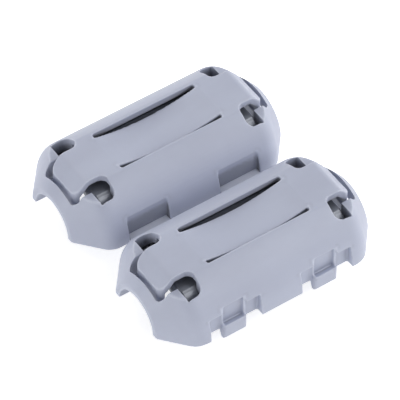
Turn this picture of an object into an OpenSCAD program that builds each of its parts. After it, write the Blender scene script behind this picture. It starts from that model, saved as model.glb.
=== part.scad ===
// Clip-on ferrite bead, lying open with its outer faces up.
// A nylon case in two halves, joined by a pair of moulded straps, carries one half of a split
// ferrite core in each half.  Folding the front half down and under by 180 degrees closes the
// clip round a cable, and two hooks snap into two loops.
//
// X runs along the cable, Y across the hinge and Z up.  The hinge line is at y = 0.  Both halves
// have their parting faces down, at the height that the loops hang below them.
// Each half is drawn in its own frame: the cable axis on X, the parting face at z = 0, the hinge
// side towards +y and the latch side towards -y.

/* [Core] */
// Length of the ferrite core
core_l = 22.4; // [20:0.2:24]
// Radius of the core's round outside
core_r = 6.5; // [6.2:0.1:7.5]
// Width of the core across the flats at its sides
core_w = 12; // [11.4:0.2:12.4]
// Height of a half core at the flat that the leaf spring presses on
core_h = 5.35; // [5.1:0.05:5.6]
// Bore for the cable through the core
bore_d = 6.7; // [5:0.1:7.5]
// Clearance round the core in its case
core_gap = 0.15; // [0.1:0.05:0.3]
// Clearance at each end of the core
core_end_gap = 0.3; // [0.2:0.05:0.6]

/* [Case] */
// Wall outside the round of the core
side_wall = 1.45; // [1.3:0.05:2.2]
// Wall of the flat top, the leaf spring and the end tongues
top_wall = 0.95; // [0.7:0.05:1.2]
// Room between the flat of the core and the flat top, which the leaf spring spans
spring_gap = 1; // [0.7:0.05:1.3]
// Half width of the room above the core
well_w = 4; // [3.6:0.1:4.3]
// Thickness of each end, from the core to the face of the end ring
end_l = 3.8; // [3.6:0.05:4.6]
// Clearance of the cable bore in the end rings, on the diameter
ring_gap = 0.1; // [0:0.05:0.4]
// Width of the face of an end ring
ring_face = 0.8; // [0.7:0.05:1.2]
// Slope of the tapered ends, from the cable axis
taper_angle = 50; // [46:0.5:56]
// Radius where a tapered end runs into the round body
shoulder_r = 2.6; // [1.5:0.1:3.5]
// Radius round the face of an end ring
ring_edge_r = 0.3; // [0.2:0.05:0.4]

/* [Leaf spring] */
// Length of the two slots beside a leaf spring
slot_l = 14.4; // [11:0.2:15.6]
// Width of a slot
slot_w = 0.58; // [0.4:0.02:0.8]
// Width of the leaf spring between its slots
leaf_w = 5.16; // [4:0.02:5.6]
// Distance of a bend line beyond the end of the slots
bend_run = 0.2; // [0:0.05:0.5]

/* [Ends] */
// Width of the end tongue that grips the cable
tongue_w = 5.4; // [4.6:0.1:5.6]
// Distance from the face of the end ring to the tip of the tongue
tip_setback = 1.6; // [1.5:0.05:2.2]
// Length of the bent part of the tongue
tongue_run = 1.55; // [1.2:0.05:1.8]
// Angle by which the tongue bends down
tongue_angle = 47.5; // [38:0.5:52]
// Radius of the tongue's outer face where it bends
tongue_bend_r = 1.2; // [0.4:0.1:2]
// Length of the finger that hangs from the tip of the tongue towards the cable
finger_l = 3.5; // [1:0.1:3.5]
// Thickness of that finger
finger_t = 0.7; // [0.5:0.05:0.9]
// Corner radius at the tip of the tongue
tongue_r = 1; // [0.5:0.1:1.2]
// Gap round the tongue
groove = 0.6; // [0.5:0.05:0.8]
// Length of a corner window along the case
window_l = 2.1; // [1.4:0.1:2.6]
// Distance from the cable's plane to the outer edge of a corner window
window_y = 5.5; // [5.2:0.05:5.8]
// Corner radius of a window
window_r = 0.9; // [0.4:0.05:0.9]
// Height of the ledge between a window and the taper, above the parting face
ledge_h = 5.85; // [5.4:0.05:6.2]

/* [Latch] */
// Distance of each hook and loop from the middle of the case
latch_x = 6.4; // [5.5:0.05:6.5]
// Width of the notch round a hook
notch_w = 7.05; // [6.4:0.05:7.4]
// Height of that notch
notch_h = 3; // [2.8:0.05:3.3]
// Depth of that notch in the wall
notch_depth = 1.1; // [1:0.05:1.2]
// Width of a hook
hook_w = 3.3; // [3:0.05:3.6]
// Height of the rim of the hook's ledge above the parting face
hook_ledge = 1; // [0.9:0.05:1.4]
// How far that rim stands above the root of the ledge
ledge_rise = 0.3; // [0:0.05:0.4]
// How far the hook's tooth stands out from its arm
tooth_out = 0.55; // [0.45:0.01:0.7]
// Fillet between the tooth and the ribs at both sides of the arm
rib_fillet = 0.4; // [0.1:0.05:0.4]
// Thickness of those ribs
rib_t = 0.25; // [0.2:0.05:0.5]
// Depth of the recess between them
web_depth = 0.35; // [0.1:0.05:0.4]
// Length of the hook below the parting face
hook_reach = 1.2; // [0.9:0.05:1.3]
// Thickness of the hook at the parting face
hook_t = 1.05; // [0.9:0.05:1.1]
// Thickness of the hook at its tip
hook_tip = 0.6; // [0.4:0.05:0.7]
// Radius of the upright edges of the hook's tooth
hook_edge_r = 0.35; // [0.1:0.05:0.5]
// How far the face of the hook's arm stands out of the notch
arm_rise = 0.2; // [0.05:0.01:0.25]
// Clearance between a loop and the hook and notch that it fits
latch_gap = 0.15; // [0.1:0.01:0.2]
// Width of each leg of a loop
leg_w = 1.4; // [1.1:0.05:1.5]

/* [Hinge] */
// Gap between the two open halves
hinge_gap = 1.44; // [0.9:0.01:1.6]
// Distance of each strap from the middle of the case
strap_x = 6.45; // [5.5:0.05:6.5]
// Width of a strap
strap_w = 5.2; // [4:0.1:5.6]
// Thickness of a strap at its ends
strap_t = 0.5; // [0.4:0.02:0.6]
// Thickness of a strap where it folds
fold_t = 0.35; // [0.3:0.01:0.38]
// Height of a strap above the parting face
strap_z = 0.1; // [0.05:0.01:0.2]
// Depth of the pocket that a strap runs into
pocket_depth = 0.85; // [0.7:0.05:1]
// Room at each side of a strap in its pocket
pocket_gap = 0.3; // [0.2:0.05:0.4]

/* [Hidden] */
$fn = 96;
nylon = [0.70, 0.73, 0.80];
ferrite = [0.13, 0.13, 0.15];
overrun = 1;                                        // how far a cutter passes through a face
root = 0.1;                                         // how far an arm runs into the wall that it grows from

case_r = core_r + core_gap + side_wall;
flat_h = core_h + spring_gap + top_wall;
room_h = flat_h - top_wall;                         // ceiling over the core
core_end = core_l / 2;
room_end = core_end + core_end_gap;
case_end = core_end + end_l;
ring_bore_r = (bore_d + ring_gap) / 2;
ring_r = ring_bore_r + ring_face;
seat_w = core_w / 2 + core_gap;                     // half width of the room beside the core

tongue_tip = case_end - tip_setback;
tongue_bend = tongue_tip - tongue_run;
groove_end = tongue_tip + groove;
groove_w = tongue_w / 2 + groove;
opening_start = room_end - window_l + window_r;     // past the rounded corner of a window
tongue_root = opening_start - window_r / 2;         // where the tongue is still whole with the flat top

leaf_end = slot_l / 2 + bend_run;
leaf_arc = (leaf_end * leaf_end + spring_gap * spring_gap) / (2 * spring_gap);

lead_in = 0.15;                                     // bevel at the outer edge of a hook's tip
notch_y = case_r - notch_depth;
arm_y = notch_y + arm_rise;
tooth_y = arm_y + tooth_out;
web_y = arm_y - web_depth;
arm_top = sqrt(case_r * case_r - arm_y * arm_y);    // where the arm's face runs out into the round
hook_back = tooth_y - hook_t;
tip_back = tooth_y - hook_tip;
loop_y = arm_y + latch_gap;
loop_eye = hook_w + 2 * latch_gap;
loop_w = loop_eye + 2 * leg_w;
loop_top = hook_reach + latch_gap;                  // top of a loop's eye, in its own half
bar_top = hook_ledge + latch_gap;
bar_drop = notch_h - latch_gap;
pocket_w = strap_w + 2 * pocket_gap;
pocket_y = case_r - pocket_depth;
half_y = hinge_gap / 2 + case_r;                    // from the hinge line to the cable's plane
parting_z = bar_drop;                               // the open clip stands on its loops

// ---- helpers ----

// Box between two corners
module block(low, high) translate(low) cube(high - low);

// Flat shape in X and Z, extruded in Y to both sides of the cable's plane
module across(width) rotate([90, 0, 0]) linear_extrude(width, center = true) children();

// Flat shape in Y and Z, extruded along the cable to both sides of the middle
module along(length) rotate([90, 0, 90]) linear_extrude(length, center = true) children();

// Rectangle with corners of radius r
module rounded(low, high, r) {
    translate([low.x + r, low.y]) square([high.x - low.x - 2 * r, high.y - low.y]);
    translate([low.x, low.y + r]) square([high.x - low.x, high.y - low.y - 2 * r]);
    for (x = [low.x + r, high.x - r], y = [low.y + r, high.y - r]) translate([x, y]) circle(r);
}

// Points on an arc from angle a to angle b, in n steps
function arc(centre, r, a, b, n = 6) =
    [for (i = [0 : n]) centre + r * [cos(a + (b - a) * i / n), sin(a + (b - a) * i / n)]];

// The same shape at both ends of the case, or on both sides of the cable
module both_ends() for (s = [0, 1]) mirror([s, 0, 0]) children();
module both_sides() for (s = [0, 1]) mirror([0, s, 0]) children();

// Moves a half into place: side -1 is in front of the hinge, 1 behind it
module half(side) translate([0, side * half_y, parting_z]) mirror([0, side > 0 ? 1 : 0, 0]) children();

// ---- ferrite core ----

module core_outline(r, half_w, h) intersection() {
    circle(r);
    translate([-half_w, 0]) square([2 * half_w, h]);
}

module half_core() along(core_l) difference() {
    core_outline(core_r, core_w / 2, core_h);
    circle(bore_d / 2);
}

// ---- case ----

// Radius against place along the cable, for one half of the turned body
module turned_outline() {
    edge_turn = 90 - taper_angle;
    corner = case_end - (case_r - ring_r) / tan(taper_angle);
    shoulder = [case_r - shoulder_r, corner - shoulder_r * tan(taper_angle / 2)];
    ring_edge = [ring_r - ring_edge_r * tan(edge_turn / 2), case_end - ring_edge_r];
    polygon(concat(
        [[0, 0], [case_r, 0]],
        arc(shoulder, shoulder_r, 0, taper_angle),
        arc(ring_edge, ring_edge_r, taper_angle, 90, 4),
        [[0, case_end]]
    ));
}

// Round body with tapered ends, cut off by the parting face and the flat top
module case_body() intersection() {
    both_ends() rotate([0, 90, 0]) rotate_extrude() turned_outline();
    block([-case_end, -case_r, 0], [case_end, case_r, flat_h]);
}

// Room for the core, with a well above it for the leaf spring
module core_room() {
    along(2 * room_end) core_outline(core_r + core_gap, seat_w, room_h);
    block([-room_end, -well_w, 0], [room_end, well_w, room_h]);
}

module cable_bore() along(2 * case_end + overrun) circle(ring_bore_r);

// Two slots free a strip of the flat top, which bows down onto the core
module leaf_opening() translate([0, 0, core_h]) linear_extrude(flat_h) {
    square([2 * leaf_end, leaf_w], center = true);
    both_sides() rounded([-slot_l / 2, leaf_w / 2 - slot_w], [slot_l / 2, leaf_w / 2 + slot_w], slot_w / 2);
}

module leaf_spring() across(leaf_w) intersection() {
    translate([0, flat_h - spring_gap + leaf_arc]) difference() {
        circle(leaf_arc + top_wall, $fn = 360);
        circle(leaf_arc, $fn = 360);
    }
    translate([-leaf_end - root, 0]) square([2 * (leaf_end + root), flat_h]);
}

// Strip with square corners at its start and rounded ones at its end
module strip(start, end, half_w) {
    rounded([end - 3 * tongue_r, -half_w], [end, half_w], tongue_r);
    translate([start, -half_w]) square([end - tongue_r - start, 2 * half_w]);
}

// Opening round the end tongue, down to the cable bore
module tongue_opening() translate([0, 0, -overrun]) linear_extrude(flat_h + 2 * overrun)
    strip(opening_start, groove_end, groove_w);

// The flat top runs on as a tongue that bends down, and its finger ends at the cable bore
module tongue() difference() {
    intersection() {
        across(tongue_w) tongue_section();
        linear_extrude(flat_h) strip(tongue_root, tongue_tip, tongue_w / 2);
    }
    cable_bore();
}

// Side view of a tongue: flat, then bent down, then a finger straight down
module tongue_section() {
    tip_h = flat_h - tongue_run * tan(tongue_angle);
    bend_start = tongue_bend - tongue_bend_r * tan(tongue_angle / 2);
    inner_bend = tongue_bend - top_wall * tan(tongue_angle / 2);
    finger_in = tongue_tip - finger_t;
    finger_root = room_h - (finger_in - inner_bend) * tan(tongue_angle);
    polygon(concat(
        [[tongue_root, flat_h]],
        arc([bend_start, flat_h - tongue_bend_r], tongue_bend_r, 90, 90 - tongue_angle),
        [[tongue_tip, tip_h], [tongue_tip, tip_h - finger_l], [finger_in, tip_h - finger_l]],
        [[finger_in, finger_root], [inner_bend, room_h], [tongue_root, room_h]]
    ));
}

// Window over each corner of the core, and the ledge between it and the taper
module corner_window() {
    window_end = room_end + 2 * window_r;
    translate([0, 0, core_h / 2]) linear_extrude(flat_h) intersection() {
        rounded([room_end - window_l, tongue_w / 2], [window_end, window_y], window_r);
        square([room_end, window_y]);
    }
    block([room_end - overrun, tongue_w / 2, ledge_h], [case_end, window_y, flat_h + overrun]);
}

// Pockets in the hinge side for the straps
module strap_pocket() translate([strap_x, 0, 0])
    block([-pocket_w / 2, pocket_y, -overrun], [pocket_w / 2, case_r + overrun, case_r]);

module plain_half() {
    difference() {
        case_body();
        core_room();
        cable_bore();
        leaf_opening();
        both_ends() tongue_opening();
        both_ends() both_sides() corner_window();
        both_ends() strap_pocket();
    }
    leaf_spring();
    both_ends() tongue();
}

// ---- latch ----

// A notch round each hook, and the flat that its arm stands on
module hook_notch() translate([latch_x, 0, 0]) {
    block([-notch_w / 2, -case_r - overrun, -overrun], [notch_w / 2, -notch_y, notch_h]);
    block([-hook_w / 2, -case_r - overrun, -overrun], [hook_w / 2, -arm_y, case_r]);
}

// Side view of a hook: x is the distance out from the cable's plane, y the height
module hook_outline() polygon(concat(
    [[notch_y - root, notch_h]],
    [[arm_y, notch_h]],
    arc([arm_y + rib_fillet, hook_ledge + rib_fillet], rib_fillet, 180, 270),
    [[tooth_y, hook_ledge], [tooth_y, lead_in - hook_reach], [tooth_y - lead_in, -hook_reach]],
    [[tip_back, -hook_reach], [hook_back, 0], [hook_back, root]]
));

module hook() translate([latch_x, 0, 0]) intersection() {
    rotate([90, 0, -90]) linear_extrude(2 * hook_w, center = true) hook_outline();
    translate([0, 0, -hook_reach - overrun]) linear_extrude(case_r)
        rounded([-hook_w / 2, -tooth_y], [hook_w / 2, 0], hook_edge_r);
}

// Recess that thins the arm of a hook to a web between two ribs, down to the sloping ledge
module hook_recess() translate([latch_x, 0, 0]) rotate([90, 0, -90])
    linear_extrude(hook_w - 2 * rib_t, center = true) polygon([
        [web_y, hook_ledge - ledge_rise], [tooth_y, hook_ledge], [case_r + overrun, hook_ledge],
        [case_r + overrun, arm_top], [web_y, arm_top]
    ]);

// Pocket in the looped half that a hook's tip enters when the clip is shut
module hook_pocket() translate([latch_x, 0, 0]) rotate([90, 0, -90])
    linear_extrude(loop_eye, center = true) polygon([
        [hook_back - latch_gap, -overrun], [hook_back - latch_gap, 0], [tip_back - latch_gap, loop_top],
        [case_r + overrun, loop_top], [case_r + overrun, -overrun]
    ]);

// Loop that hangs below the parting face, with an eye for the hook
module loop() translate([latch_x, 0, 0]) difference() {
    block([-loop_w / 2, -case_r, -bar_drop], [loop_w / 2, -loop_y, loop_top]);
    block([-loop_eye / 2, -case_r - overrun, -bar_top], [loop_eye / 2, overrun - loop_y, loop_top + overrun]);
}

// ---- hinge straps ----

// Flat strap between the pockets, thinner in the middle where it folds
module strap(side) translate([side * strap_x, 0, parting_z + strap_z]) rotate([90, 0, 90])
    linear_extrude(strap_w, center = true) strap_outline();

module strap_outline() {
    end = half_y - pocket_y;
    fold = hinge_gap / 2;
    polygon([[-end, 0], [end, 0], [end, strap_t], [fold, fold_t], [-fold, fold_t], [-end, strap_t]]);
}

// ---- nodes ----

module hooked_case() color(nylon) half(-1) difference() {
    union() {
        difference() {
            plain_half();
            both_ends() hook_notch();
        }
        both_ends() hook();
    }
    both_ends() hook_recess();
}

module looped_case() color(nylon) half(1) {
    difference() {
        plain_half();
        both_ends() hook_pocket();
    }
    both_ends() loop();
}

module hooked_core() color(ferrite) half(-1) half_core();
module looped_core() color(ferrite) half(1) half_core();
module left_strap() color(nylon) strap(-1);
module right_strap() color(nylon) strap(1);

looped_case();
hooked_case();
looped_core();
hooked_core();
left_strap();
right_strap();
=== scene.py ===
"""Looks of a clip-on ferrite bead that lies open: two nylon half shells with half a ferrite core in
each, joined by two moulded straps.

Every length is in metres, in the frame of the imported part: X along the cable channels, Y across the
hinge, Z up.  Each half also has a frame of its own, with its channel on X and its parting face at
z = 0, in which its pieces are drawn before they are put in place.
"""

import logging
import math
from dataclasses import dataclass, field
from enum import Enum
from typing import Sequence

import bmesh
import bpy
import numpy as np
from mathutils import Matrix, Vector


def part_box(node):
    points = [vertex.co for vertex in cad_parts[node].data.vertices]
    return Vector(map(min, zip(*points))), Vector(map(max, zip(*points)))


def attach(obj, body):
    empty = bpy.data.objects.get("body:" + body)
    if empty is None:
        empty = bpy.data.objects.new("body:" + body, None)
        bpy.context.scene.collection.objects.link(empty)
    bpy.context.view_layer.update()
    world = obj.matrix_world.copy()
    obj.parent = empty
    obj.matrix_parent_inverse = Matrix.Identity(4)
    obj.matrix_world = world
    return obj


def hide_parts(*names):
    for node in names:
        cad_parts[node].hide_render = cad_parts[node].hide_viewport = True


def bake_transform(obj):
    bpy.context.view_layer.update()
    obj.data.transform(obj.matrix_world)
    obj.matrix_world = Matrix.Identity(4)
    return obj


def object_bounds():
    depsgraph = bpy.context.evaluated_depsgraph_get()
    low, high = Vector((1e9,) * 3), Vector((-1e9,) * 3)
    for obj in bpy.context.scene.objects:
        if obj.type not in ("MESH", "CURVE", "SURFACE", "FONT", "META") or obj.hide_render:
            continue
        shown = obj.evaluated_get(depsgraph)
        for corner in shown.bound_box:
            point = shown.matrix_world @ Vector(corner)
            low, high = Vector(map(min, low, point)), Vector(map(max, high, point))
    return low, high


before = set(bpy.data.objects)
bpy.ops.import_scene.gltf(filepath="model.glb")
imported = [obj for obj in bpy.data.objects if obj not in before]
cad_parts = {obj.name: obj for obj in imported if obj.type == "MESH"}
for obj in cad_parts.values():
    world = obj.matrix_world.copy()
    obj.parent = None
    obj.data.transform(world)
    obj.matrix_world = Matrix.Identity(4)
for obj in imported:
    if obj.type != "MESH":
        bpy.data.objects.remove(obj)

CAD_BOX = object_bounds()
MM = 0.001
SHORTEST = 1e-12  # least length that a direction is divided by
LOG = logging.getLogger("ferrite_clip")

Colour = tuple[float, float, float]
Span = tuple[float, float]
Socket = bpy.types.NodeSocket


# ---------------------------------------------------------------- shader helpers

@dataclass(frozen=True)
class Grain:
    """The grain of a noise.

    Its size is in metres.  It has detail octaves of finer noise, with the strength rough, and
    stretch says how many times longer than wide it is drawn on each axis.
    """

    size: float
    detail: float
    rough: float
    stretch: tuple[float, float, float] = (1, 1, 1)


class NodeKit:
    """Builds one material's nodes with short calls.

    COLOUR_INPUTS and COLOUR_OUTPUT are the numbers of the Mix node's sockets that carry colours.
    """

    COLOUR_INPUTS = (6, 7)
    COLOUR_OUTPUT = 2

    def __init__(self, name: str) -> None:
        """Starts a material with a Principled shader and Object coordinates.

        Args:
            name: the material's name.
        """
        self.material = bpy.data.materials.new(name)
        self.material.use_nodes = True
        self.tree = self.material.node_tree
        self.shader = self.tree.nodes["Principled BSDF"]
        self.places = self.tree.nodes.new("ShaderNodeTexCoord").outputs["Object"]

    def link(self, source: Socket, target: Socket) -> None:
        """Joins two sockets."""
        self.tree.links.new(source, target)

    def noise(self, grain: Grain) -> Socket:
        """Noise over the surface.

        Args:
            grain: the noise's grain.

        Returns:
            The noise's value, from 0 to 1.
        """
        mapping = self.tree.nodes.new("ShaderNodeMapping")
        mapping.inputs["Scale"].default_value = [1 / s for s in grain.stretch]
        self.link(self.places, mapping.inputs["Vector"])
        node = self.tree.nodes.new("ShaderNodeTexNoise")
        node.inputs["Scale"].default_value = 1 / grain.size
        node.inputs["Detail"].default_value = grain.detail
        node.inputs["Roughness"].default_value = grain.rough
        self.link(mapping.outputs["Vector"], node.inputs["Vector"])
        return node.outputs["Fac"]

    def ramp(self, value: Socket, start: Span, end: Span = (0.0, 1.0)) -> Socket:
        """Carries one span of numbers over to another, smoothly and clamped.

        Args:
            value: the number that is carried over.
            start: the span that it is read in.
            end: the results at the ends of that span, and beyond them.

        Returns:
            The result's socket.
        """
        node = self.tree.nodes.new("ShaderNodeMapRange")
        node.interpolation_type = "SMOOTHSTEP"
        for socket, number in zip(("From Min", "From Max", "To Min", "To Max"), (*start, *end)):
            node.inputs[socket].default_value = number
        self.link(value, node.inputs["Value"])
        return node.outputs["Result"]

    def mix(self, share: Socket, first: Colour | Socket, second: Colour | Socket) -> Socket:
        """Mixes two colours by a share.

        Args:
            share: 0 gives the first colour and 1 the second.
            first: a colour or a socket.
            second: a colour or a socket.

        Returns:
            The mixed colour's socket.
        """
        node = self.tree.nodes.new("ShaderNodeMix")
        node.data_type = "RGBA"
        self.link(share, node.inputs["Factor"])
        for number, colour in zip(self.COLOUR_INPUTS, (first, second)):
            if isinstance(colour, tuple):
                node.inputs[number].default_value = (*colour, 1)
            else:
                self.link(colour, node.inputs[number])
        return node.outputs[self.COLOUR_OUTPUT]

    def bump(self, height: Socket, depth: float, strength: float, under: Socket | None = None) -> Socket:
        """Bump from a height.

        Args:
            height: from 0 to 1.
            depth: what a height of 1 stands for, in metres.
            strength: share of the bump that shows.
            under: the normal of a coarser bump under this one.

        Returns:
            The bumped normal.
        """
        node = self.tree.nodes.new("ShaderNodeBump")
        node.inputs["Distance"].default_value = depth
        node.inputs["Strength"].default_value = strength
        self.link(height, node.inputs["Height"])
        if under is not None:
            self.link(under, node.inputs["Normal"])
        return node.outputs["Normal"]

    def attribute(self, name: str) -> Socket:
        """Value of a named attribute of the piece.

        Args:
            name: the attribute's name.

        Returns:
            The value's socket.
        """
        node = self.tree.nodes.new("ShaderNodeAttribute")
        node.attribute_name = name
        return node.outputs["Fac"]

    def set(self, **numbers: float) -> None:
        """Sets the shader's own sockets; an underscore in a name stands for a space."""
        for name, number in numbers.items():
            self.shader.inputs[name.replace("_", " ")].default_value = number


def seen_directly(tree: bpy.types.NodeTree) -> Socket:
    """Tells what is seen straight, or in a shiny or clear surface, from soft light.

    Args:
        tree: the nodes of the floor's material or of the world.

    Returns:
        A socket with 1 for what is seen and 0 for soft light.
    """
    path = tree.nodes.new("ShaderNodeLightPath")
    most = path.outputs["Is Camera Ray"]
    for kind in ("Is Glossy Ray", "Is Transmission Ray"):
        larger = tree.nodes.new("ShaderNodeMath")
        larger.operation = "MAXIMUM"
        tree.links.new(most, larger.inputs[0])
        tree.links.new(path.outputs[kind], larger.inputs[1])
        most = larger.outputs[0]
    return most


class Moulding(Enum):
    """Surface that a mould leaves on a piece; its value is the depth of the skin's grain."""

    SPARK_ERODED = 0.006 * MM
    FLEXED = 0.003 * MM


@dataclass(frozen=True)
class Nylon:
    """Satin moulded nylon, pale bluish grey, with a fine skin and long shallow waves.

    The spans say between which values of a noise or a mark a change comes in.  The flow's and the
    waves' grains are drawn out along the cable, as the nylon flowed in the mould.
    """

    name: str
    surface: Moulding
    colour: Colour = (0.475, 0.510, 0.635)
    shade: Colour = (0.440, 0.470, 0.590)
    # edge is the paler colour of the edges: wear, and a painted highlight where edges catch the light.
    edge: Colour = (0.580, 0.615, 0.735)
    # corner is the dark colour of painted shade in inner corners and on the walls of slots, windows and
    # pockets.
    corner: Colour = (0.120, 0.124, 0.145)
    roughness: Span = (0.40, 0.52)
    sheen_grain: Grain = Grain(0.9 * MM, 5, 0.6)
    sheen_span: Span = (0.3, 0.7)
    skin_grain: Grain = Grain(0.09 * MM, 3, 0.6)
    skin_strength: float = 0.6
    flow_grain: Grain = Grain(5.5 * MM, 4, 0.55, (2.2, 1, 1))
    flow_span: Span = (0.30, 0.72)
    wave_grain: Grain = Grain(3.2 * MM, 2, 0.4, (2.5, 1, 1))
    wave_depth: float = 0.010 * MM
    wave_strength: float = 0.5
    wear_and_highlight_span: Span = (0.15, 1.0)
    most_wear_and_highlight: float = 0.75
    most_shade: float = 0.9
    ior: float = 1.53
    scatter: float = 0.10
    scatter_reach: float = 0.6 * MM
    scatter_colour: Colour = (1.0, 0.9, 0.85)

    def material(self) -> bpy.types.Material:
        """Builds the material: clouded colour, paler edges for wear with a painted highlight, painted shade
        in inner corners and openings, satin skin.

        Returns:
            The material.
        """
        kit = NodeKit(self.name)
        cloud = kit.ramp(kit.noise(self.flow_grain), self.flow_span)
        body = kit.mix(cloud, self.shade, self.colour)
        # Paler edges: wear and a painted highlight.
        worn_and_lit = kit.ramp(kit.attribute("edge_wear_and_highlight"), self.wear_and_highlight_span, (0.0, self.most_wear_and_highlight))
        # Painted shade in inner corners and openings.
        painted_corner_shade = kit.ramp(kit.attribute("corner_shade"), (0.0, 1.0), (0.0, self.most_shade))
        kit.link(kit.mix(painted_corner_shade, kit.mix(worn_and_lit, body, self.edge), self.corner), kit.shader.inputs["Base Color"])
        skin = kit.noise(self.skin_grain)
        sheen = kit.ramp(kit.noise(self.sheen_grain), self.sheen_span, self.roughness)
        kit.link(sheen, kit.shader.inputs["Roughness"])
        wave = kit.noise(self.wave_grain)
        waves = kit.bump(wave, self.wave_depth, self.wave_strength)
        kit.link(kit.bump(skin, self.surface.value, self.skin_strength, waves), kit.shader.inputs["Normal"])
        kit.set(IOR=self.ior, Subsurface_Weight=self.scatter, Subsurface_Scale=self.scatter_reach)
        kit.shader.inputs["Subsurface Radius"].default_value = self.scatter_colour
        return kit.material


@dataclass(frozen=True)
class Ferrite:
    """Sintered ferrite, tumbled: nearly black, faintly glossy, with fine pits, and paler near its ends with
    edge wear and painted light where the ends are lit.

    The spans say between which values of a noise or a mark a change comes in.
    """

    name: str
    colour: Colour = (0.030, 0.032, 0.038)
    speck: Colour = (0.070, 0.074, 0.085)
    # rubbed is the paler colour near the ends: edge wear and painted light.
    rubbed_and_lit: Colour = (0.100, 0.106, 0.126)
    sheen: Colour = (0.86, 0.90, 1.0)
    roughness: Span = (0.30, 0.40)
    gloss_grain: Grain = Grain(0.7 * MM, 4, 0.6)
    gloss_span: Span = (0.3, 0.7)
    speck_grain: Grain = Grain(0.16 * MM, 4, 0.7)
    speck_span: Span = (0.58, 0.85)
    most_wear_and_highlight: float = 0.9
    pit_grain: Grain = Grain(0.22 * MM, 2, 0.5)
    pit_span: Span = (0.26, 0.38)
    pit_depth: float = 0.003 * MM
    pit_strength: float = 0.4
    ior: float = 2.7

    def material(self) -> bpy.types.Material:
        """Builds the material: speckled grey-black with pits, paler near the ends with edge wear and painted
        light.

        Returns:
            The material.
        """
        kit = NodeKit(self.name)
        speck = kit.ramp(kit.noise(self.speck_grain), self.speck_span)
        # Paler near the ends: edge wear and painted light.
        worn_and_lit = kit.ramp(kit.attribute("edge_wear_and_highlight"), (0.0, 1.0), (0.0, self.most_wear_and_highlight))
        body = kit.mix(speck, self.colour, self.speck)
        kit.link(kit.mix(worn_and_lit, body, self.rubbed_and_lit), kit.shader.inputs["Base Color"])
        gloss = kit.ramp(kit.noise(self.gloss_grain), self.gloss_span, self.roughness)
        kit.link(gloss, kit.shader.inputs["Roughness"])
        pits = kit.ramp(kit.noise(self.pit_grain), self.pit_span)
        kit.link(kit.bump(pits, self.pit_depth, self.pit_strength), kit.shader.inputs["Normal"])
        kit.shader.inputs["Specular Tint"].default_value = (*self.sheen, 1)
        kit.set(IOR=self.ior)
        return kit.material


# ---------------------------------------------------------------- mesh helpers

def mesh_object(name: str, points: np.ndarray, faces: Sequence[Sequence[int]],
                smooth: bool = True) -> bpy.types.Object:
    """Makes an object at the origin from points and faces.

    Args:
        name: the piece's name.
        points: n x 3 places in the part's frame.
        faces: point numbers of each face, which points outwards.
        smooth: whether the faces are shaded smooth.

    Returns:
        The object, in the scene.
    """
    mesh = bpy.data.meshes.new(name)
    mesh.from_pydata(points.tolist(), [], [list(map(int, f)) for f in faces])
    mesh.polygons.foreach_set("use_smooth", np.full(len(mesh.polygons), smooth))
    mesh.validate()
    made = bpy.data.objects.new(name, mesh)
    bpy.context.scene.collection.objects.link(made)
    return made


def tube_faces(rings: int, around: int) -> list[Sequence[int]]:
    """Faces of a closed tube of rings x around points, with a cap at each end.

    Ring i's point k is number i * around + k; each quad joins ring i to ring i + 1 between k and k + 1.

    Args:
        rings: number of rings along the tube.
        around: points in a ring, in order, anticlockwise seen from the last ring.

    Returns:
        The faces, pointing outwards.
    """
    i, k = np.meshgrid(np.arange(rings - 1), np.arange(around), indexing="ij")
    a, b = i * around + k, i * around + (k + 1) % around
    quads = np.stack([a, b, b + around, a + around], -1).reshape(-1, 4)
    first = np.arange(around)[::-1]
    last = np.arange(around) + (rings - 1) * around
    return [*quads.tolist(), first.tolist(), last.tolist()]


def rounded_loop(corners: np.ndarray, radii: np.ndarray, steps: int) -> np.ndarray:
    """A closed outline with its corners rounded.

    Each corner p with unit directions u, v to its neighbours is replaced by the arc of radius r that
    touches both sides: it starts and ends at r / tan(half the corner's angle) from p, and its centre
    lies on the bisector at r / sin(half angle).  Seen from the centre, the point at the share s of
    the arc's sweep w is (sin((1 - s) w) * start + sin(s w) * end) / sin(w).

    Args:
        corners: n x 2 corner points in order.
        radii: radius at each corner.
        steps: points on each arc, less one.

    Returns:
        (n * (steps + 1)) x 2 points.
    """
    least_sweep = 1e-9
    before, after = np.roll(corners, 1, 0) - corners, np.roll(corners, -1, 0) - corners
    u = before / np.linalg.norm(before, axis=1, keepdims=True)
    v = after / np.linalg.norm(after, axis=1, keepdims=True)
    half = np.arccos(np.clip((u * v).sum(1), -1, 1)) / 2
    bisector = u + v
    bisector /= np.maximum(np.linalg.norm(bisector, axis=1, keepdims=True), SHORTEST)
    centre = corners + bisector * (radii / np.sin(half))[:, None]
    start = corners + u * (radii / np.tan(half))[:, None] - centre
    end = corners + v * (radii / np.tan(half))[:, None] - centre
    share = np.linspace(0, 1, steps + 1)[None, :, None]
    sweep = (math.pi - 2 * half)[:, None, None]
    weight = np.sin(np.maximum(sweep, least_sweep))
    arc = (np.sin((1 - share) * sweep) * start[:, None] + np.sin(share * sweep) * end[:, None]) / weight
    return (centre[:, None] + arc).reshape(-1, 2)


def surface_of(piece: bpy.types.Object) -> tuple[np.ndarray, np.ndarray]:
    """Reads a piece's points and normals.

    Args:
        piece: the piece.

    Returns:
        Its points and its normals, each as n x 3 numbers.
    """
    count = len(piece.data.vertices)
    places, normals = np.empty((2, count * 3), np.float32)
    piece.data.vertices.foreach_get("co", places)
    piece.data.vertices.foreach_get("normal", normals)
    return places.reshape(-1, 3), normals.reshape(-1, 3)


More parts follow.
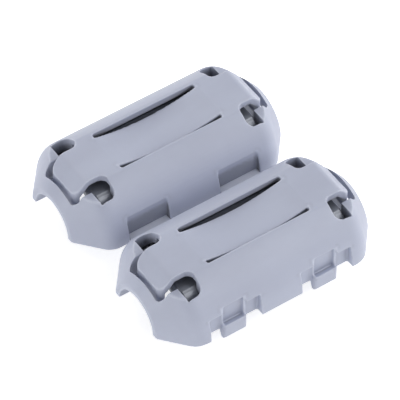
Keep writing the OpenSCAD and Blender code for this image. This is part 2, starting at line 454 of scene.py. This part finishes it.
def way_to_nearest(places: np.ndarray, samples: np.ndarray) -> np.ndarray:
    """The way from each place to the nearest sample.

    The nearest sample s to p has the least s.s - 2 p.s, which orders as the distance does.

    Args:
        places: n x 3 points.
        samples: m x 3 points.

    Returns:
        n x 3 vectors.
    """
    at_a_time = 4000
    samples = samples.astype(np.float32)
    length = (samples ** 2).sum(1)
    nearest = np.empty(len(places), int)
    for part in np.array_split(np.arange(len(places)), max(1, len(places) // at_a_time)):
        nearest[part] = (length[None] - 2 * places[part] @ samples.T).argmin(1)
    return samples[nearest] - places


def smooth_rise(value: np.ndarray, low: float, high: float) -> np.ndarray:
    """0 up to low and 1 from high on, with the smooth curve t * t * (3 - 2 t) between them."""
    t = np.clip((value - low) / (high - low), 0, 1)
    return t * t * (3 - 2 * t)


def within(value: np.ndarray, span: Span) -> np.ndarray:
    """Tells for each value whether it lies inside the span."""
    return (value > span[0]) & (value < span[1])


def write_mark(piece: bpy.types.Object, name: str, mark: np.ndarray) -> None:
    """Writes a number for each point of a piece as a named attribute."""
    piece.data.attributes.new(name, "FLOAT", "POINT").data.foreach_set("value", mark.astype(np.float32))


# ---------------------------------------------------------------- the two halves

@dataclass
class Half:
    """Where a half lies: its channel's place across the hinge, its parting face and its facing."""

    prefix: str
    body: str
    channel_y: float = field(init=False)
    parting_z: float = field(init=False)
    hinge_side: float = field(init=False)

    def __post_init__(self) -> None:
        """Reads the place from the half's core."""
        low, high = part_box(f"{self.prefix}_core")
        self.channel_y = (low.y + high.y) / 2
        self.parting_z = low.z
        self.hinge_side = -1.0 if self.channel_y > 0 else 1.0

    def place(self, local: np.ndarray) -> np.ndarray:
        """Turns points of the half's own frame, with the hinge towards +y, into the part's frame.

        Args:
            local: n x 3 points.

        Returns:
            n x 3 points in the part's frame.
        """
        signs = np.array([1.0, self.hinge_side, 1.0])
        return local * signs + np.array([0.0, self.channel_y, self.parting_z])


@dataclass(frozen=True)
class DepthShade:
    """How dark an opening's upright wall turns with its depth below the rim."""

    strength: float
    start: float
    full: float

    def at(self, depth: np.ndarray) -> np.ndarray:
        """The shade at each depth: 0 down to start, and strength from full on."""
        return self.strength * smooth_rise(depth, self.start, self.full)


@dataclass
class HalfShell:
    """A nylon half shell, with the soft edges that a mould leaves.

    The fingers of its end tongues reach on into the cable's way, as they do until a cable bends them
    back.  The places of the leaf, the windows and the pockets are distances from the middle of the
    half's own frame, and only serve to shade their walls.
    """

    half: Half
    finish: Nylon
    finger_x: Span = (12.5 * MM, 13.4 * MM)
    finger_z: Span = (1.6 * MM, 3.9 * MM)
    finger_half_w: float = 2.7 * MM
    merge_reach: float = 0.002 * MM
    voxel: float = 0.10 * MM
    rounding: int = 3
    rounding_share: float = 0.5
    most_triangles: int = 180_000
    parting_play: float = 0.02 * MM
    sharp_angle: float = math.radians(32)
    edge_spacing: float = 0.15 * MM
    most_on_an_edge: int = 200
    # Outer edges turn paler within wear_and_highlight_reach: wear and a painted highlight.
    wear_and_highlight_reach: float = 0.28 * MM
    # Inner corners get painted shade within shade_reach, of strength corner_strength.
    shade_reach: float = 0.7 * MM
    rise_fade: float = 2.0
    corner_strength: float = 0.7
    leaf_end: float = 7.4 * MM
    leaf_side: float = 2.58 * MM
    leaf_dip: float = 1.0 * MM
    slot_w: float = 0.58 * MM
    slot_play: float = 0.058 * MM
    window_x: Span = (9.3 * MM, 11.6 * MM)
    window_y: Span = (2.6 * MM, 5.6 * MM)
    pocket_x: Span = (3.5 * MM, 9.4 * MM)
    pocket_y: float = 7.2 * MM
    # Painted shade on the walls of the slots, windows and hinge pockets, darker with depth.
    below_leaf: DepthShade = DepthShade(1.0, 0.08 * MM, 0.35 * MM)
    beside_leaf: DepthShade = DepthShade(0.4, 0.04 * MM, 0.2 * MM)
    in_window: DepthShade = DepthShade(0.6, 0.3 * MM, 1.5 * MM)
    pocket_back: DepthShade = DepthShade(0.5, 0.1 * MM, 0.4 * MM)
    pocket_end: DepthShade = DepthShade(0.85, 0.1 * MM, 0.4 * MM)

    def merged_copy(self) -> bpy.types.Object:
        """Copies the CAD node with its loose triangles joined, and adds the fingers' lower parts.

        Returns:
            The copy, in the scene.
        """
        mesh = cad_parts[f"{self.half.prefix}_case"].data.copy()
        joined = bmesh.new()
        joined.from_mesh(mesh)
        bmesh.ops.remove_doubles(joined, verts=joined.verts, dist=self.merge_reach)
        for end in (-1, 1):
            self.add_finger(joined, end)
        joined.to_mesh(mesh)
        joined.free()
        made = bpy.data.objects.new(f"{self.half.prefix}_rough", mesh)
        bpy.context.scene.collection.objects.link(made)
        return made

    def add_finger(self, joined: bmesh.types.BMesh, end: int) -> None:
        """Adds the lower part of a finger, as a closed block that runs up into the finger.

        Args:
            joined: the shell's mesh.
            end: -1 or 1, the end of the case along X.
        """
        low = np.array([self.finger_x[0], -self.finger_half_w, self.finger_z[0]])
        high = np.array([self.finger_x[1], self.finger_half_w, self.finger_z[1]])
        middle, size = (low + high) / 2, high - low
        place = self.half.place((middle * [end, 1, 1])[None])[0]
        bmesh.ops.create_cube(joined, size=1, matrix=Matrix.Translation(place) @ Matrix.Diagonal((*size, 1)))

    def draw_in_parting_face(self, piece: bpy.types.Object) -> None:
        """Lifts the parting face by parting_play, so that the closed halves lie clear of each other.

        Args:
            piece: the shell.
        """
        least_facing = 0.5
        places, normals = surface_of(piece)
        height = places[:, 2] - self.half.parting_z
        face = (np.abs(height) < self.parting_play) & (normals[:, 2] < -least_facing)
        places[face, 2] = self.half.parting_z + self.parting_play
        piece.data.vertices.foreach_set("co", places.astype(np.float32).ravel())
        piece.data.update()

    def edge_points(self, piece: bpy.types.Object, turn: int) -> np.ndarray:
        """Samples the sharp edges of a joined mesh, where its two faces turn by more than sharp_angle.

        Args:
            piece: the joined mesh.
            turn: 1 for the outward edges, -1 for the inward ones.

        Returns:
            m x 3 points.
        """
        joined = bmesh.new()
        joined.from_mesh(piece.data)
        ends = [
            (e.verts[0].co.copy(), e.verts[1].co.copy())
            for e in joined.edges
            if len(e.link_faces) == 2 and turn * e.calc_face_angle_signed(0.0) > self.sharp_angle
        ]
        joined.free()
        a, b = (np.array([pair[i] for pair in ends]) for i in (0, 1))
        count = int(np.ceil(np.linalg.norm(b - a, axis=1).max() / self.edge_spacing)) + 1
        share = np.linspace(0, 1, min(count, self.most_on_an_edge))[:, None, None]
        points = (a + (b - a) * share).reshape(-1, 3)
        return np.unique(np.round(points / self.edge_spacing), axis=0) * self.edge_spacing

    def mark_surface(self, piece: bpy.types.Object, outer: np.ndarray, inner: np.ndarray) -> None:
        """Writes the attributes edge_wear_and_highlight, for wear with a painted edge highlight, and
        corner_shade, for painted shade.

        The wear and highlight is 1 - d / wear_and_highlight_reach at the distance d from an outer edge.  The
        painted shade is corner_strength times 1 - d / shade_reach at the distance d from an inner edge.  It
        fades from slot_w to a third of wear_and_highlight_reach from an outer edge.  It is also multiplied by
        1 + rise_fade * r, where r is the slope from the surface up to the inner edge, so that the outside of
        a wall, which has the edge below it, stays clear.  The walls of the openings get painted shade with
        their depth.

        Args:
            piece: the shell.
            outer: points on its outer edges.
            inner: points on its inner edges.
        """
        places, normals = surface_of(piece)
        from_outer = np.linalg.norm(way_to_nearest(places, outer), axis=1)
        # Paler outer edges: wear and a painted highlight.
        write_mark(piece, "edge_wear_and_highlight", np.clip(1 - from_outer / self.wear_and_highlight_reach, 0, 1))
        # Painted shade in inner corners.
        way = way_to_nearest(places, inner)
        from_inner = np.linalg.norm(way, axis=1)
        least_way, least_clear = self.shade_reach / 2, self.wear_and_highlight_reach / 3
        rise = (way * normals).sum(1) / np.maximum(from_inner, least_way)
        shade = np.clip(1 - from_inner / self.shade_reach, 0, 1) * np.clip(1 + self.rise_fade * rise, 0, 1)
        shade *= self.corner_strength * smooth_rise(from_outer, least_clear, self.slot_w)
        write_mark(piece, "corner_shade", np.maximum(shade, self.opening_shade(places, normals)))

    def opening_shade(self, places: np.ndarray, normals: np.ndarray) -> np.ndarray:
        """Painted shade of the upright walls in the slots, windows and hinge pockets, by their depth.

        The outside is the lower of the flat top and the circle of radius outer_r, both read from the
        CAD box.  The leaf's top at x is flat_top - dip + R - sqrt(R^2 - x^2), with its bow's radius
        R = (end^2 + dip^2) / (2 dip).  The depth in a slot is taken from there, in a window from
        the outside, and in a pocket from the circle.

        Args:
            places: the shell's points.
            normals: its normals.

        Returns:
            A number from 0 to 1 for each point.
        """
        least_upright = 0.7
        flat_top = CAD_BOX[1].z - self.half.parting_z
        outer_r = CAD_BOX[1].y - abs(self.half.channel_y)
        x = np.abs(places[:, 0])
        y = np.abs(places[:, 1] - self.half.channel_y)
        z = places[:, 2] - self.half.parting_z
        bow_r = (self.leaf_end ** 2 + self.leaf_dip ** 2) / (2 * self.leaf_dip)
        bow = bow_r - np.sqrt(bow_r ** 2 - np.minimum(x, self.leaf_end) ** 2)
        leaf_top = flat_top - self.leaf_dip + bow
        slot_y = (self.leaf_side - self.slot_play, self.leaf_side + self.slot_w + self.slot_play)
        outer_wall = y > self.leaf_side + self.slot_w / 2
        wall_shade = outer_wall * self.beside_leaf.at(flat_top - z)
        slot_shade = np.maximum(self.below_leaf.at(leaf_top - z), wall_shade)
        in_slot = (x < self.leaf_end) & within(y, slot_y)
        outside = np.minimum(flat_top, np.sqrt(np.maximum(outer_r ** 2 - y ** 2, 0)))
        in_window = within(x, self.window_x) & within(y, self.window_y)
        to_hinge = (places[:, 1] - self.half.channel_y) * self.half.hinge_side
        in_pocket = within(x, self.pocket_x) & (to_hinge > self.pocket_y)
        sunk = outer_r - np.hypot(y, z)
        at_end = np.abs(normals[:, 0]) > least_upright
        pocket_shade = np.where(at_end, self.pocket_end.at(sunk), self.pocket_back.at(sunk))
        shade = np.maximum(in_slot * slot_shade, in_window * self.in_window.at(outside - z))
        upright = np.abs(normals[:, 2]) < least_upright
        return upright * np.maximum(shade, in_pocket * pocket_shade)

    def rounded_mesh(self, rough: bpy.types.Object) -> bpy.types.Mesh:
        """Rebuilds the merged copy on an even fine grid and relaxes it, which rounds each edge a little.

        Args:
            rough: the merged copy, which is used up.

        Returns:
            The rounded mesh, of about most_triangles at most.
        """
        grid = rough.modifiers.new("grid", "REMESH")
        grid.mode = "VOXEL"
        grid.voxel_size = self.voxel
        relax = rough.modifiers.new("relax", "SMOOTH")
        relax.factor = self.rounding_share
        relax.iterations = self.rounding
        evaluated = rough.evaluated_get(bpy.context.evaluated_depsgraph_get())
        triangles = sum(len(p.vertices) - 2 for p in evaluated.data.polygons)
        if triangles > self.most_triangles:
            rough.modifiers.new("fewer", "DECIMATE").ratio = self.most_triangles / triangles
            evaluated = rough.evaluated_get(bpy.context.evaluated_depsgraph_get())
        mesh = bpy.data.meshes.new_from_object(evaluated)
        old = rough.data
        bpy.data.objects.remove(rough)
        bpy.data.meshes.remove(old)
        return mesh

    def build(self) -> bpy.types.Object:
        """Rounds the merged copy, draws in its parting face and dresses it.

        Returns:
            The finished shell, riding on its body and standing for the CAD node.
        """
        rough = self.merged_copy()
        outer, inner = self.edge_points(rough, 1), self.edge_points(rough, -1)
        mesh = self.rounded_mesh(rough)
        mesh.name = f"{self.half.prefix}_shell"
        mesh.polygons.foreach_set("use_smooth", np.ones(len(mesh.polygons), bool))
        piece = bpy.data.objects.new(mesh.name, mesh)
        bpy.context.scene.collection.objects.link(piece)
        self.draw_in_parting_face(piece)
        self.mark_surface(piece, outer, inner)
        mesh.materials.clear()
        mesh.materials.append(self.finish.material())
        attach(piece, self.half.body)
        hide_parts(f"{self.half.prefix}_case")
        return piece


@dataclass
class HalfCore:
    """Half of the ferrite core: a D-shaped bar with a half-round bore, rounded at its ends."""

    half: Half
    finish: Ferrite
    bore_r: float = 3.35 * MM
    edge_r: float = 0.22 * MM
    smallest_r: float = 1e-8
    arc_steps: int = 40
    edge_steps: int = 3
    end_steps: int = 4
    face_play: float = 0.01 * MM
    sharp_angle: float = math.radians(40)
    # The core is painted paler within wear_and_highlight_reach of its ends: edge wear and painted light on
    # the lit ends.
    wear_and_highlight_reach: float = 0.9 * MM

    def outline(self) -> np.ndarray:
        """The section, anticlockwise seen from +x, as points in y and z.

        The outside is the circle of the core's outer radius, cut by the two side flats and the top
        flat, and the bore is the half circle of radius bore_r.  The two corners of the top flat and
        the four at the face are rounded by edge_r.  The face is drawn in by face_play, so that the
        closed halves lie clear of each other.

        Returns:
            n x 2 points.
        """
        low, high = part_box(f"{self.half.prefix}_core")
        half_w, top = (high.y - low.y) / 2, high.z - low.z
        outer_r = self.outer_radius()
        side_z = math.sqrt(outer_r ** 2 - half_w ** 2)
        start, end = math.atan2(side_z, half_w), math.asin(top / outer_r)
        right = np.linspace(start, end, self.arc_steps // 2)
        arc = outer_r * np.stack([np.cos(right), np.sin(right)], 1)
        left = arc[::-1] * [-1, 1]
        bore = np.linspace(math.pi, 0, self.arc_steps)
        inner = self.bore_r * np.stack([np.cos(bore), np.sin(bore)], 1)
        corners = np.concatenate([[[half_w, 0]], arc, left, [[-half_w, 0]], inner])
        sharp = [0, len(arc), len(arc) + 1, 2 * len(arc) + 1, 2 * len(arc) + 2, len(corners) - 1]
        radii = np.full(len(corners), self.smallest_r)
        radii[sharp] += self.edge_r
        loop = rounded_loop(corners, radii, self.edge_steps)
        return np.stack([loop[:, 0], np.maximum(loop[:, 1], self.face_play)], 1)

    def outer_radius(self) -> float:
        """Radius of the core's round outside.

        Returns:
            The distance from the cable's line to the furthest point of the core's mesh.
        """
        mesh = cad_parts[f"{self.half.prefix}_core"].data
        flat = np.empty(len(mesh.vertices) * 3, np.float32)
        mesh.vertices.foreach_get("co", flat)
        places = flat.reshape(-1, 3) - [0, self.half.channel_y, self.half.parting_z]
        return float(np.hypot(places[:, 1], places[:, 2]).max())

    def build(self) -> bpy.types.Object:
        """Carries the section along X, drawn in towards the ends by a quarter round.

        A station at angle t of the quarter round lies edge_r * (1 - sin t) from the end, and the
        section there is moved inwards along its own normals by edge_r * (1 - cos t).

        Returns:
            The finished core, riding on its body and standing for the CAD node.
        """
        low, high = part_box(f"{self.half.prefix}_core")
        half_l = (high.x - low.x) / 2
        loop = self.outline()
        tangent = np.roll(loop, -1, 0) - np.roll(loop, 1, 0)
        inward = np.stack([-tangent[:, 1], tangent[:, 0]], 1)
        inward /= np.maximum(np.linalg.norm(inward, axis=1, keepdims=True), SHORTEST)
        turn = np.linspace(0, math.pi / 2, self.end_steps + 1)
        near_x = half_l - self.edge_r * (1 - np.sin(turn))
        near_in = self.edge_r * (1 - np.cos(turn))
        x = np.concatenate([-near_x[::-1], near_x])
        inset = np.concatenate([near_in[::-1], near_in])
        section = loop[None] + inward[None] * inset[:, None, None]
        stations = np.broadcast_to(x[:, None, None], (len(x), len(loop), 1))
        points = self.half.place(np.concatenate([stations, section], 2).reshape(-1, 3))
        faces = tube_faces(len(x), len(loop))
        if self.half.hinge_side < 0:
            faces = [f[::-1] for f in faces]
        piece = mesh_object(f"{self.half.prefix}_core_half", points, faces)
        piece.data.set_sharp_from_angle(angle=self.sharp_angle)
        # Paler ends: edge wear and painted light, fading over wear_and_highlight_reach from each end.
        ends = [np.concatenate([np.full((len(loop), 1), end), loop], 1) for end in (-half_l, half_l)]
        edge = self.half.place(np.concatenate(ends))
        distance = np.linalg.norm(way_to_nearest(surface_of(piece)[0], edge), axis=1)
        write_mark(piece, "edge_wear_and_highlight", np.clip(1 - distance / self.wear_and_highlight_reach, 0, 1))
        piece.data.materials.append(self.finish.material())
        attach(piece, self.half.body)
        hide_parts(f"{self.half.prefix}_core")
        return piece


@dataclass
class HingeStrap:
    """A moulded strap between the halves, thinner at its middle, where the real one folds as the clip shuts;
    it is drawn lying open.

    It is wider on each side than the CAD strap, because it is moulded up to the pockets' walls.
    """

    name: str
    finish: Nylon
    stations: int = 41
    edge_r: float = 0.12 * MM
    most_rounding: float = 0.4
    edge_steps: int = 4
    fold_share: float = 0.7
    wider: float = 0.2 * MM

    def build(self) -> bpy.types.Object:
        """Carries a rounded rectangle across the hinge, along Y.

        The lower face is flat.  The thickness is the CAD strap's outside the gap between the
        halves, and falls smoothly to fold_share of it at the hinge line.  An edge's radius is at
        most most_rounding of the thickness.

        Returns:
            The finished strap, lying between the two halves and standing for the CAD node.
        """
        low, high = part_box(self.name)
        gap = min(abs(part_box("looped_case")[0].y), abs(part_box("hooked_case")[1].y))
        y = np.linspace(low.y, high.y, self.stations)
        dip = smooth_rise(1 - np.abs(y) / gap, 0, 1)
        thick = (high.z - low.z) * (1 - (1 - self.fold_share) * dip)
        half_w, mid_x = (high.x - low.x) / 2 + self.wider, (high.x + low.x) / 2
        unit = np.array([[-1, 0], [-1, 1], [1, 1], [1, 0]], float)
        edge_r = np.minimum(self.edge_r, self.most_rounding * thick)
        section = np.stack([
            rounded_loop(unit * [half_w, t], np.full(len(unit), r), self.edge_steps)
            for t, r in zip(thick, edge_r)
        ])
        around = section.shape[1]
        across = np.broadcast_to(y[:, None], (len(y), around))
        points = np.stack([section[..., 0] + mid_x, across, section[..., 1] + low.z], -1).reshape(-1, 3)
        piece = mesh_object(f"{self.name}_bend", points, tube_faces(len(y), around))
        piece.data.materials.append(self.finish.material())
        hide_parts(self.name)
        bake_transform(piece)
        return piece


# ---------------------------------------------------------------- the studio

@dataclass(frozen=True)
class Lamp:
    """A square soft lamp that faces the clip: where it hangs, its side and its power in watts."""

    name: str
    place: tuple[float, float, float]
    size: float
    watts: float

    def build(self) -> None:
        """Puts the lamp in the scene."""
        light = bpy.data.lights.new(self.name, "AREA")
        light.energy, light.size = self.watts, self.size
        made = bpy.data.objects.new(self.name, light)
        made.location = self.place
        made.rotation_euler = (-Vector(self.place)).to_track_quat("-Z", "Y").to_euler()
        bpy.context.scene.collection.objects.link(made)


@dataclass
class Studio:
    """White floor, pale surroundings, soft lamps and the camera.

    The angles are in degrees.  The camera's axis misses the target by off_axis, in millimetres on
    the sensor.  The floor glows by floor_glow in soft light and where it is seen.
    """

    target: Vector
    azimuth: float = 35.84
    elevation: float = 49.61
    roll: float = 1.1
    distance: float = 471.2 * MM
    focal: float = 364.2
    sensor: float = 36.0
    far_clip: float = 20.0
    off_axis: tuple[float, float] = (-3.8412, 5.4036)
    soft_colour: Colour = (1.0, 0.985, 0.95)
    soft_strength: float = 0.30
    seen_colour: Colour = (0.8, 0.8, 0.8)
    floor_half: float = 3.0
    floor_colour: Colour = (0.9, 0.9, 0.9)
    floor_roughness: float = 0.9
    floor_glow: Span = (0.25, 0.62)
    lamps: tuple[Lamp, ...] = (
        Lamp("front_box", (0.27, -0.40, 0.42), 0.50, 1.50),
        Lamp("right_box", (0.60, -0.10, 0.20), 0.40, 1.40),
        Lamp("left_box", (-0.60, -0.05, 0.25), 0.40, 1.20),
        Lamp("back_box", (0.0, 0.60, 0.35), 0.45, 1.90),
    )

    def camera(self) -> bpy.types.Object:
        """Makes a long-lens camera that looks past the target.

        The view's axis is the line from the camera to the target, turned aside by off_axis over the
        focal length.

        Returns:
            The camera.
        """
        turn, lift, roll = map(math.radians, (self.azimuth, self.elevation, self.roll))
        right = Vector((math.cos(turn), -math.sin(turn), 0))
        ahead = Vector((math.sin(turn) * math.cos(lift), math.cos(turn) * math.cos(lift), -math.sin(lift)))
        up = right.cross(ahead)
        right, up = right * math.cos(roll) + up * math.sin(roll), up * math.cos(roll) - right * math.sin(roll)
        aside, above = (offset / self.focal for offset in self.off_axis)
        axis = (ahead + right * aside + up * above).normalized()
        up = (up - axis * up.dot(axis)).normalized()
        lens = bpy.data.cameras.new("camera")
        lens.lens, lens.sensor_width, lens.clip_end = self.focal, self.sensor, self.far_clip
        made = bpy.data.objects.new("camera", lens)
        bpy.context.scene.collection.objects.link(made)
        basis = Matrix((axis.cross(up), up, -axis)).transposed().to_4x4()
        made.matrix_world = Matrix.Translation(self.target - ahead * self.distance) @ basis
        bpy.context.scene.camera = made
        return made

    def surroundings(self) -> None:
        """Makes the world: pale where it is seen past the floor, and an even soft light on everything."""
        world = bpy.data.worlds.new("surroundings")
        bpy.context.scene.world = world
        world.use_nodes = True
        tree = world.node_tree
        soft = tree.nodes["Background"]
        soft.inputs["Color"].default_value = (*self.soft_colour, 1)
        soft.inputs["Strength"].default_value = self.soft_strength
        seen = tree.nodes.new("ShaderNodeBackground")
        seen.inputs["Color"].default_value = (*self.seen_colour, 1)
        mix = tree.nodes.new("ShaderNodeMixShader")
        tree.links.new(seen_directly(tree), mix.inputs["Fac"])
        tree.links.new(soft.outputs[0], mix.inputs[1])
        tree.links.new(seen.outputs[0], mix.inputs[2])
        tree.links.new(mix.outputs[0], tree.nodes["World Output"].inputs["Surface"])

    def floor(self) -> bpy.types.Object:
        """Makes a wide plain white floor that keeps a faint shadow of the clip.

        Returns:
            The floor.
        """
        square = self.floor_half * np.array([[-1, -1, 0], [1, -1, 0], [1, 1, 0], [-1, 1, 0]])
        made = mesh_object("floor", square, [[0, 1, 2, 3]], smooth=False)
        kit = NodeKit("white_floor")
        kit.set(Roughness=self.floor_roughness)
        kit.shader.inputs["Base Color"].default_value = (*self.floor_colour, 1)
        kit.shader.inputs["Emission Color"].default_value = (1, 1, 1, 1)
        glow = kit.ramp(seen_directly(kit.tree), (0.0, 1.0), self.floor_glow)
        kit.link(glow, kit.shader.inputs["Emission Strength"])
        made.data.materials.append(kit.material)
        return made

    def build(self) -> None:
        """Sets up the whole studio."""
        bpy.context.scene.view_settings.view_transform = "Standard"
        self.camera()
        self.surroundings()
        self.floor()
        for lamp in self.lamps:
            lamp.build()


def main() -> None:
    """Builds the clip's pieces in order, then the studio."""
    logging.basicConfig(level=logging.INFO, format="%(name)s: %(message)s")
    nylon = Nylon("pale_nylon", Moulding.SPARK_ERODED)
    # The straps are paler than the shells: stress whitening of the bent nylon, and painted light where they
    # lie in shade between the halves.
    flexed_and_lit = Nylon("flexed_and_lit_nylon", Moulding.FLEXED, colour=(0.64, 0.67, 0.78), shade=(0.60, 0.63, 0.74))
    ferrite = Ferrite("sintered_ferrite")
    halves = [Half("looped", "looped_half"), Half("hooked", "hooked_half")]
    makers = [maker for half in halves for maker in (HalfShell(half, nylon), HalfCore(half, ferrite))]
    makers += [HingeStrap(name, flexed_and_lit) for name in ("left_strap", "right_strap")]
    for maker in makers:
        piece = maker.build()
        LOG.info("%s: %d faces", piece.name, len(piece.data.polygons))
    near = halves[-1]
    Studio(target=Vector((0, near.channel_y, near.parting_z))).build()


if __name__ == "__main__":
    main()
